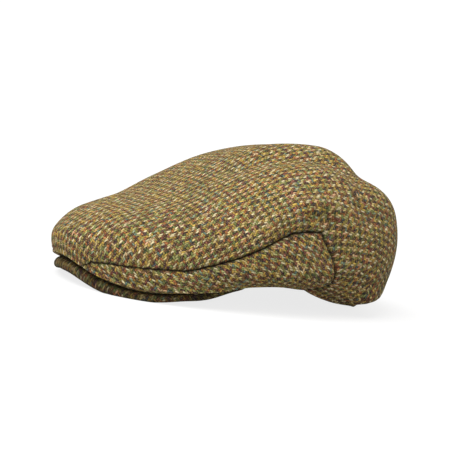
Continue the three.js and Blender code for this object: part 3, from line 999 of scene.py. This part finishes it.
def yarn_ramp(tree, pick, yarns):
    """A colour ramp that gives each yarn colour its share of the picks."""
    ramp = add_node(tree, "ShaderNodeValToRGB", {"Fac": pick})
    ramp.color_ramp.interpolation = "CONSTANT"
    elements = ramp.color_ramp.elements
    while len(elements) > 1:
        elements.remove(elements[-1])
    place = 0.0
    for number, (_, share, colour) in enumerate(yarns):
        element = elements[0] if number == 0 else elements.new(place)
        element.position = place
        element.color = linear(colour)
        place += share
    return ramp.outputs["Color"]


def wavered(tree, cloth, waver):
    """The cloth's coordinates, pushed about a little so that no thread runs quite straight."""
    noise = noise_over(tree, cloth, WAVER_SCALE)
    centred = add_node(tree, "ShaderNodeVectorMath", {0: noise.outputs["Color"], 1: NOISE_CENTRE},
                       operation="SUBTRACT")
    pushed = add_node(tree, "ShaderNodeVectorMath", {
        0: centred.outputs[0],
        "Scale": calculate(tree, "MULTIPLY", waver, WAVER_REACH),
    }, operation="SCALE")
    return add_node(tree, "ShaderNodeVectorMath", {0: cloth, 1: pushed.outputs[0]},
                    operation="ADD").outputs[0]


def chance_picks(tree, float_number, thread, chance):
    """Three chance values for each float of a thread: its colour, its light and whether it goes
    astray."""
    place = add_node(tree, "ShaderNodeCombineXYZ", {"X": float_number, "Y": thread, "Z": chance})
    noise = add_node(tree, "ShaderNodeTexWhiteNoise", {"Vector": place.outputs[0]},
                     noise_dimensions="3D")
    parts = add_node(tree, "ShaderNodeSeparateXYZ", {0: noise.outputs["Color"]})
    return noise.outputs["Value"], parts.outputs["Y"], parts.outputs["Z"]


def round_over(tree, part):
    """A hump over a part from 0 to 1: one less the square of twice the part less one."""
    centred = calculate(tree, "MULTIPLY_ADD", part, 2.0, -1.0)
    return calculate(tree, "SUBTRACT", 1.0, calculate(tree, "MULTIPLY", centred, centred))


def tweed_group():
    """The weave: every thread goes over two and under two, one step on from its neighbour. Of each
    four lengthways threads two are light and two dark, which makes the check, and the crossways
    ones have the middle colours. It puts out the colour and the height of the threads."""
    tree, given, result = new_group(
        WEAVE_NAME,
        {
            "Cloth": ("NodeSocketVector", None),
            "Thread across": ("NodeSocketFloat", 1.0),
            "Thread along": ("NodeSocketFloat", 1.0),
            "Waver": ("NodeSocketFloat", 0.0),
            "Fleck": ("NodeSocketFloat", 0.0),
            "Stray threads": ("NodeSocketFloat", 0.0),
            "Shade": ("NodeSocketFloat", 0.0),
            "Brightness": ("NodeSocketFloat", 1.0),
        },
        {"Colour": "NodeSocketColor", "Height": "NodeSocketFloat"},
    )

    cloth = wavered(tree, given["Cloth"], given["Waver"])
    split = add_node(tree, "ShaderNodeSeparateXYZ", {0: cloth})
    across = calculate(tree, "DIVIDE", split.outputs["X"], given["Thread across"])
    along = calculate(tree, "DIVIDE", split.outputs["Y"], given["Thread along"])
    warp = calculate(tree, "FLOOR", across)
    weft = calculate(tree, "FLOOR", along)
    across_part = calculate(tree, "FRACT", across)
    along_part = calculate(tree, "FRACT", along)

    twill = 2 * FLOAT_THREADS
    diagonal = calculate(tree, "ADD", warp, weft)
    step = calculate(tree, "FLOORED_MODULO", diagonal, twill)
    float_number = calculate(tree, "FLOOR", calculate(tree, "DIVIDE", diagonal, twill))
    warp_on_top = calculate(tree, "LESS_THAN", step, FLOAT_THREADS - HALF_STEP)

    warp_pick, warp_light, warp_stray = chance_picks(tree, float_number, warp, WARP_CHANCE)
    weft_pick, weft_light, _ = chance_picks(tree, float_number, weft, WEFT_CHANCE)
    in_check = calculate(tree, "FLOORED_MODULO", warp, CHECK_THREADS)
    light_place = calculate(tree, "LESS_THAN", in_check, LIGHT_THREADS - HALF_STEP)
    astray = calculate(tree, "LESS_THAN", warp_stray, given["Stray threads"])
    is_light = calculate(tree, "ABSOLUTE", calculate(tree, "SUBTRACT", light_place, astray))
    warp_colour = blend_colours(tree, is_light, yarn_ramp(tree, warp_pick, DARK_YARN),
                                yarn_ramp(tree, warp_pick, LIGHT_YARN))
    colour = blend_colours(tree, warp_on_top, yarn_ramp(tree, weft_pick, MIDDLE_YARN), warp_colour)
    thread_light = blend_numbers(tree, warp_on_top, weft_light, warp_light)

    one_thread = 1 / FLOAT_THREADS
    warp_run = calculate(tree, "MULTIPLY", calculate(tree, "ADD", step, along_part), one_thread)
    weft_run = calculate(tree, "MULTIPLY_ADD", calculate(tree, "ADD", step, across_part),
                         one_thread, -1.0)
    warp_height = calculate(tree, "MULTIPLY", round_over(tree, across_part),
                            round_over(tree, warp_run))
    weft_height = calculate(tree, "MULTIPLY", round_over(tree, along_part),
                            round_over(tree, weft_run))
    height = blend_numbers(tree, warp_on_top, weft_height, warp_height)
    height = calculate(tree, "POWER", calculate(tree, "MAXIMUM", height, 0.0), THREAD_ROUNDNESS)

    fibres = noise_over(tree, cloth, FIBRE_SCALE, FIBRE_DETAIL, FIBRE_ROUGHNESS)
    stray_here = calculate(tree, "GREATER_THAN", fibres.outputs["Fac"], STRAY_FIBRES_FROM)
    colour = blend_colours(tree, calculate(tree, "MULTIPLY", given["Fleck"], stray_here), colour,
                           yarn_ramp(tree, fibres.outputs["Fac"], STRAY_FIBRES))

    patches = noise_over(tree, given["Cloth"], PATCH_SCALE)
    # Each piece's brightness is painted light or shade, for how the light falls on that piece
    strength = given["Brightness"]
    for factor in (
        spread_between(tree, fibres, *FIBRE_LIGHT),
        spread_between(tree, patches, *PATCH_LIGHT),
        # Painted shade in the valleys between threads: a thread is darker at its edge than at its
        # crown
        calculate(tree, "MULTIPLY_ADD", height, THREAD_CROWN_LIGHT, THREAD_EDGE_LIGHT),
        calculate(tree, "MULTIPLY_ADD", thread_light, THREAD_LIGHT_SPREAD, THREAD_LEAST_LIGHT),
        # Painted shade at the bottom of each seam, partly its dark seam line, and a painted highlight
        # on the hem's folded edge
        calculate(tree, "MULTIPLY_ADD", given["Shade"], -SEAM_SHADE, 1.0),
    ):
        strength = calculate(tree, "MULTIPLY", strength, factor)
    lit = add_node(tree, "ShaderNodeVectorMath", {0: colour, "Scale": strength}, operation="SCALE")
    fuzz = calculate(tree, "MULTIPLY_ADD", fibres.outputs["Fac"], FUZZ_HEIGHT, height)
    tree.links.new(lit.outputs[0], result.inputs["Colour"])
    tree.links.new(fuzz, result.inputs["Height"])
    return tree


def tweed_material(name, group, sizes, brightness):
    """Wool tweed: the weave's colour on a rough face with a soft sheen, and its threads as bump."""
    material = bpy.data.materials.new(name)
    material.use_nodes = True
    tree = material.node_tree
    tree.nodes.clear()
    cloth = add_node(tree, "ShaderNodeUVMap", uv_map=CLOTH_NAME)
    shade = add_node(tree, "ShaderNodeAttribute", attribute_name=SHADE_NAME)
    weave = add_node(tree, "ShaderNodeGroup", {
        "Cloth": cloth.outputs[0],
        "Thread across": sizes.thread_across / MM,
        "Thread along": sizes.thread_along / MM,
        "Waver": sizes.waver,
        "Fleck": sizes.fleck,
        "Stray threads": sizes.stray_threads,
        "Shade": shade.outputs["Fac"],
        "Brightness": brightness,
    }, node_tree=group)
    bump = add_node(tree, "ShaderNodeBump", {"Strength": sizes.weave_relief,
                                             "Distance": sizes.thread_height,
                                             "Height": weave.outputs["Height"]})
    wool = add_node(tree, "ShaderNodeBsdfPrincipled", {
        "Base Color": weave.outputs["Colour"],
        "Roughness": WOOL_ROUGHNESS,
        "Specular IOR Level": WOOL_GLOSS,
        "Sheen Weight": sizes.sheen,
        "Sheen Roughness": SHEEN_ROUGHNESS,
        "Sheen Tint": (*sizes.sheen_colour, 1.0),
        "Normal": bump.outputs["Normal"],
    })
    out = add_node(tree, "ShaderNodeOutputMaterial")
    tree.links.new(wool.outputs[0], out.inputs["Surface"])
    return material


class TweedCapSizes(bpy.types.PropertyGroup):
    """Sizes and colours of the cap's cloth and of its stage that a user may change."""

    cloth_wall: bpy.props.FloatProperty(
        name="Cloth thickness", description="Thickness of the crown's cloth",
        default=2.6 * MM, min=0, unit="LENGTH")
    seam_gap: bpy.props.FloatProperty(
        name="Seam gap", description="Space left between two panels",
        default=0.5 * MM, min=0, unit="LENGTH")
    seam_depth: bpy.props.FloatProperty(
        name="Seam depth", description="How far a panel's edge rolls in at a seam",
        default=2.3 * MM, min=0, unit="LENGTH")
    seam_roll: bpy.props.FloatProperty(
        name="Seam roll", description="How wide the rolled edge at a seam is",
        default=2.8 * MM, min=0, unit="LENGTH")
    seam_draw: bpy.props.FloatProperty(
        name="Seam draw", description="How far the cloth beside a seam is drawn in",
        default=1.0 * MM, min=0, unit="LENGTH")
    seam_draw_width: bpy.props.FloatProperty(
        name="Seam draw width", description="How far from a seam the cloth is drawn in",
        default=6 * MM, min=0, unit="LENGTH")
    crease_width: bpy.props.FloatProperty(
        name="Crease width", description="Width of the shade at the bottom of a seam",
        default=1.5 * MM, min=0.01 * MM, unit="LENGTH")
    hem_bead: bpy.props.FloatProperty(
        name="Hem bead", description="How far the folded edge of the hem stands out",
        default=0.45 * MM, min=0, unit="LENGTH")
    hem_bead_width: bpy.props.FloatProperty(
        name="Hem bead width", description="Width of the folded edge of the hem",
        default=1.4 * MM, min=0, unit="LENGTH")
    hem_stitch_height: bpy.props.FloatProperty(
        name="Hem stitch height", description="Height of the drawn-in line above the hem",
        default=4 * MM, min=0, unit="LENGTH")
    side_grain: bpy.props.FloatProperty(
        name="Side grain", description="How steeply the side panels' threads fall to the rear",
        default=math.radians(24), unit="ROTATION")
    thread_across: bpy.props.FloatProperty(
        name="Thread width across", description="Width of a lengthways thread",
        default=1.1 * MM, min=0, unit="LENGTH")
    thread_along: bpy.props.FloatProperty(
        name="Thread width along", description="Width of a crossways thread",
        default=1.5 * MM, min=0, unit="LENGTH")
    thread_height: bpy.props.FloatProperty(
        name="Thread height", description="How far the threads stand out",
        default=0.5 * MM, min=0, unit="LENGTH")
    weave_relief: bpy.props.FloatProperty(
        name="Weave relief", description="Strength of the threads' bump",
        default=0.9, min=0, max=1, subtype="FACTOR")
    waver: bpy.props.FloatProperty(
        name="Waver", description="How far the threads stray from straight lines",
        default=0.42, min=0, max=1, subtype="FACTOR")
    fleck: bpy.props.FloatProperty(
        name="Fleck", description="Strength of the stray fibres of other colours",
        default=0.45, min=0, max=1, subtype="FACTOR")
    stray_threads: bpy.props.FloatProperty(
        name="Stray threads", description="Share of threads that are light in place of dark",
        default=0.06, min=0, max=1, subtype="FACTOR")
    sheen: bpy.props.FloatProperty(
        name="Sheen", description="Strength of the wool's soft sheen",
        default=0.06, min=0, max=1, subtype="FACTOR")
    sheen_colour: bpy.props.FloatVectorProperty(
        name="Sheen colour", description="Colour of the wool's soft sheen",
        default=linear((236, 210, 160))[:3], size=3, min=0, max=1, subtype="COLOR")
    # Painted light: the top panel's tweed scaled for the light that falls on it
    top_painted_light: bpy.props.FloatProperty(
        name="Top brightness", description="Brightness of the top panel's yarn",
        default=1.04, min=0, max=2, subtype="FACTOR")
    # Painted light: the side panels' tweed made lighter or darker for the light that falls on them
    side_painted_light: bpy.props.FloatProperty(
        name="Side brightness", description="Brightness of the side panels' yarn",
        default=1.06, min=0, max=2, subtype="FACTOR")
    # Painted shade: the peak's tweed made darker for the shade it lies in under the crown
    peak_painted_shade: bpy.props.FloatProperty(
        name="Peak brightness", description="Brightness of the peak's yarn",
        default=0.35, min=0, max=2, subtype="FACTOR")
    # Painted shade on the peak's upper face, for the shade under the crown's overhang
    peak_shade: bpy.props.FloatProperty(
        name="Peak shade", description="How dark the peak's upper face is under the crown",
        default=0.8, min=0, max=1, subtype="FACTOR")
    peak_columns: bpy.props.IntProperty(
        name="Peak steps round", description="Grid steps from one end of the peak to the other",
        default=160, min=8)
    peak_rows: bpy.props.IntProperty(
        name="Peak steps across", description="Grid steps across each face of the peak",
        default=26, min=2)
    peak_edge_steps: bpy.props.IntProperty(
        name="Peak edge steps", description="Grid steps round each quarter of the peak's edge",
        default=5, min=1)
    peak_end_round: bpy.props.FloatProperty(
        name="Peak end", description="Degrees over which the peak's ends thin out", default=2.5,
        min=0.1)
    floor_colour: bpy.props.FloatVectorProperty(
        name="Floor colour", description="Colour of the studio floor",
        default=(0.2, 0.2, 0.2), size=3, min=0, max=1, subtype="COLOR")
    floor_glow: bpy.props.FloatProperty(
        name="Floor glow", description="Light that the floor gives off like a light table",
        default=0.8, min=0)
    key_strength: bpy.props.FloatProperty(
        name="Key light", description="Strength of the main light", default=3.2, min=0)
    sky_strength: bpy.props.FloatProperty(
        name="Sky light", description="Strength of the light from all round", default=0.55, min=0)


def weave():
    """The weave's node group, made when it is first asked for."""
    return bpy.data.node_groups.get(WEAVE_NAME) or tweed_group()


def dress(piece, node, material):
    """Gives a piece its cloth and its place on the cap's body, and hides the solid of the node it
    stands for.
    """
    piece.data.materials.append(material)
    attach(piece, "root")
    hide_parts(node)


class TweedCapCrown(bpy.types.Operator):
    """Make the long top panel of the crown"""

    bl_idname = "tweed_cap.crown"
    bl_label = "Top panel"

    def execute(self, context):
        """Builds the piece and dresses it."""
        sizes = context.scene.tweed_cap
        grid = CrownGrid(sizes)
        flat = top_cloth_coordinates(grid)
        piece = panel_object("crown_cloth", grid, grid.top_cells, flat, sizes)
        cloth = tweed_material("top tweed", weave(), sizes, sizes.top_painted_light)
        dress(piece, "crown_top", cloth)
        return {"FINISHED"}


class TweedCapSides(bpy.types.Operator):
    """Make the two crescent side panels"""

    bl_idname = "tweed_cap.sides"
    bl_label = "Side panels"

    def execute(self, context):
        """Builds both pieces and dresses them."""
        sizes = context.scene.tweed_cap
        grid = CrownGrid(sizes)
        cloth = tweed_material("side tweed", weave(), sizes, sizes.side_painted_light)
        for name, cells, side in (("left", grid.left_cells, 1), ("right", grid.right_cells, -1)):
            flat = side_cloth_coordinates(grid, cells, side, sizes.side_grain)
            piece = panel_object(f"side_cloth_{name}", grid, cells, flat, sizes)
            dress(piece, f"side_panel_{name}", cloth)
        return {"FINISHED"}


class TweedCapPeak(bpy.types.Operator):
    """Make the cloth-covered peak"""

    bl_idname = "tweed_cap.peak"
    bl_label = "Peak"

    def execute(self, context):
        """Builds the piece and dresses it."""
        sizes = context.scene.tweed_cap
        piece = peak_object("peak_cloth", sizes)
        cloth = tweed_material("peak tweed", weave(), sizes, sizes.peak_painted_shade)
        dress(piece, "peak", cloth)
        return {"FINISHED"}


class TweedCapStage(bpy.types.Operator):
    """Make the pale floor, the soft light and the camera"""

    bl_idname = "tweed_cap.stage"
    bl_label = "Stage"

    def execute(self, context):
        """Builds the floor, the lights, the sky and the camera."""
        sizes = context.scene.tweed_cap
        scene = context.scene
        make_floor(sizes)
        make_lights(scene, sizes)
        scene.camera = make_camera(scene)
        scene.view_settings.view_transform = "Standard"
        return {"FINISHED"}


def grey(value):
    """A grey of one value, as a socket takes it."""
    return (value, value, value, 1.0)


def make_floor(sizes):
    """A flat pale floor that reaches far past the cap, and throws little light back up at it."""
    corners = np.array([(-1, -1, 0), (1, -1, 0), (1, 1, 0), (-1, 1, 0)]) * FLOOR_REACH / MM
    floor = mesh_object("floor", corners, np.array([[0, 1, 2, 3]]), np.zeros((1, 4, 2)))
    material = bpy.data.materials.new("pale floor")
    material.use_nodes = True
    tree = material.node_tree
    tree.nodes.clear()
    lit = add_node(tree, "ShaderNodeBsdfDiffuse", {"Color": (*sizes.floor_colour, 1.0)})
    glow = add_node(tree, "ShaderNodeEmission", {"Color": grey(1.0),
                                                 "Strength": sizes.floor_glow})
    pale = add_node(tree, "ShaderNodeAddShader", {0: lit.outputs[0], 1: glow.outputs[0]})
    dim = add_node(tree, "ShaderNodeBsdfDiffuse", {"Color": grey(FLOOR_BOUNCE)})
    path = add_node(tree, "ShaderNodeLightPath")
    shown = add_node(tree, "ShaderNodeMixShader", {0: path.outputs["Is Camera Ray"],
                                                   1: dim.outputs[0], 2: pale.outputs[0]})
    out = add_node(tree, "ShaderNodeOutputMaterial")
    tree.links.new(shown.outputs[0], out.inputs["Surface"])
    floor.data.materials.append(material)


def camera_axes():
    """Right, up and backwards of the camera: it looks at the target from its turn and rise, and
    is then rolled about its own line of sight."""
    turn, rise, roll = (math.radians(v) for v in (CAMERA_TURN, CAMERA_RISE, CAMERA_ROLL))
    back = Vector((math.sin(turn) * math.cos(rise), -math.cos(turn) * math.cos(rise),
                   math.sin(rise)))
    level_right = Vector((math.cos(turn), math.sin(turn), 0))
    level_up = back.cross(level_right)
    right = level_right * math.cos(roll) + level_up * math.sin(roll)
    up = level_up * math.cos(roll) - level_right * math.sin(roll)
    return right, up, back


def make_lights(scene, sizes):
    """One broad key light from the upper left and near side of the picture, and an even sky. Past
    the floor's edge the camera sees what the floor shows: its glow, and its colour in the light
    that falls on it."""
    right, _, back = camera_axes()
    towards = (Vector((0, 0, 1)) * KEY_UP - right * KEY_LEFT + back * KEY_NEAR).normalized()
    light = bpy.data.lights.new("key", "SUN")
    light.energy = sizes.key_strength
    light.angle = KEY_SOFTNESS
    key = bpy.data.objects.new("key", light)
    key.rotation_euler = towards.to_track_quat("Z", "Y").to_euler()
    scene.collection.objects.link(key)

    world = bpy.data.worlds.new("studio")
    world.use_nodes = True
    tree = world.node_tree
    tree.nodes.clear()
    sky = add_node(tree, "ShaderNodeBackground", {"Color": SKY_COLOUR,
                                                  "Strength": sizes.sky_strength})
    falling = sizes.sky_strength + sizes.key_strength * towards.z / math.pi
    seen = falling * sizes.floor_colour[0] + sizes.floor_glow
    backdrop = add_node(tree, "ShaderNodeBackground", {"Color": grey(1.0),
                                                       "Strength": seen})
    path = add_node(tree, "ShaderNodeLightPath")
    shown = add_node(tree, "ShaderNodeMixShader", {0: path.outputs["Is Camera Ray"],
                                                   1: sky.outputs[0], 2: backdrop.outputs[0]})
    out = add_node(tree, "ShaderNodeOutputWorld")
    tree.links.new(shown.outputs[0], out.inputs["Surface"])
    scene.world = world


def make_camera(scene):
    """A camera at the photograph's angle, moved sideways so that the target falls on its pixel."""
    right, up, back = camera_axes()
    scale = CAMERA_FOCAL_PIXELS / CAMERA_DISTANCE
    aside = (TARGET_PIXEL[0] - PHOTO_SIZE / 2) / scale
    below = (TARGET_PIXEL[1] - PHOTO_SIZE / 2) / scale
    place = Vector(CAMERA_TARGET) + back * CAMERA_DISTANCE - right * aside + up * below
    lens = bpy.data.cameras.new("camera")
    lens.sensor_width = SENSOR_WIDTH
    lens.lens = CAMERA_FOCAL_PIXELS * SENSOR_WIDTH / PHOTO_SIZE
    lens.clip_start = CLIP_START
    camera = bpy.data.objects.new("camera", lens)
    turned = Matrix((right, up, back)).transposed().to_4x4()
    camera.matrix_world = Matrix.Translation(place * MM) @ turned
    scene.collection.objects.link(camera)
    return camera


class TweedCapPanel(bpy.types.Panel):
    """Buttons for the cap's pieces and the stage"""

    bl_idname = "VIEW3D_PT_tweed_cap"
    bl_label = "Tweed cap"
    bl_space_type = "VIEW_3D"
    bl_region_type = "UI"
    bl_category = "Tweed cap"

    def draw(self, context):
        """Lists the operators, then the sizes."""
        for operator in OPERATORS:
            self.layout.operator(operator.bl_idname)
        sizes = context.scene.tweed_cap
        for name in TweedCapSizes.__annotations__:
            self.layout.prop(sizes, name)


OPERATORS = (TweedCapCrown, TweedCapSides, TweedCapPeak, TweedCapStage)
CLASSES = (TweedCapSizes, *OPERATORS, TweedCapPanel)


def register():
    """Adds the classes and the sizes to Blender."""
    for cls in CLASSES:
        bpy.utils.register_class(cls)
    bpy.types.Scene.tweed_cap = bpy.props.PointerProperty(type=TweedCapSizes)


def unregister():
    """Takes the classes and the sizes out of Blender."""
    del bpy.types.Scene.tweed_cap
    for cls in reversed(CLASSES):
        bpy.utils.unregister_class(cls)


def main():
    """Builds every piece and the stage."""
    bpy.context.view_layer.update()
    register()
    bpy.ops.tweed_cap.crown()
    bpy.ops.tweed_cap.sides()
    bpy.ops.tweed_cap.peak()
    bpy.ops.tweed_cap.stage()


if __name__ == "__main__":
    main()
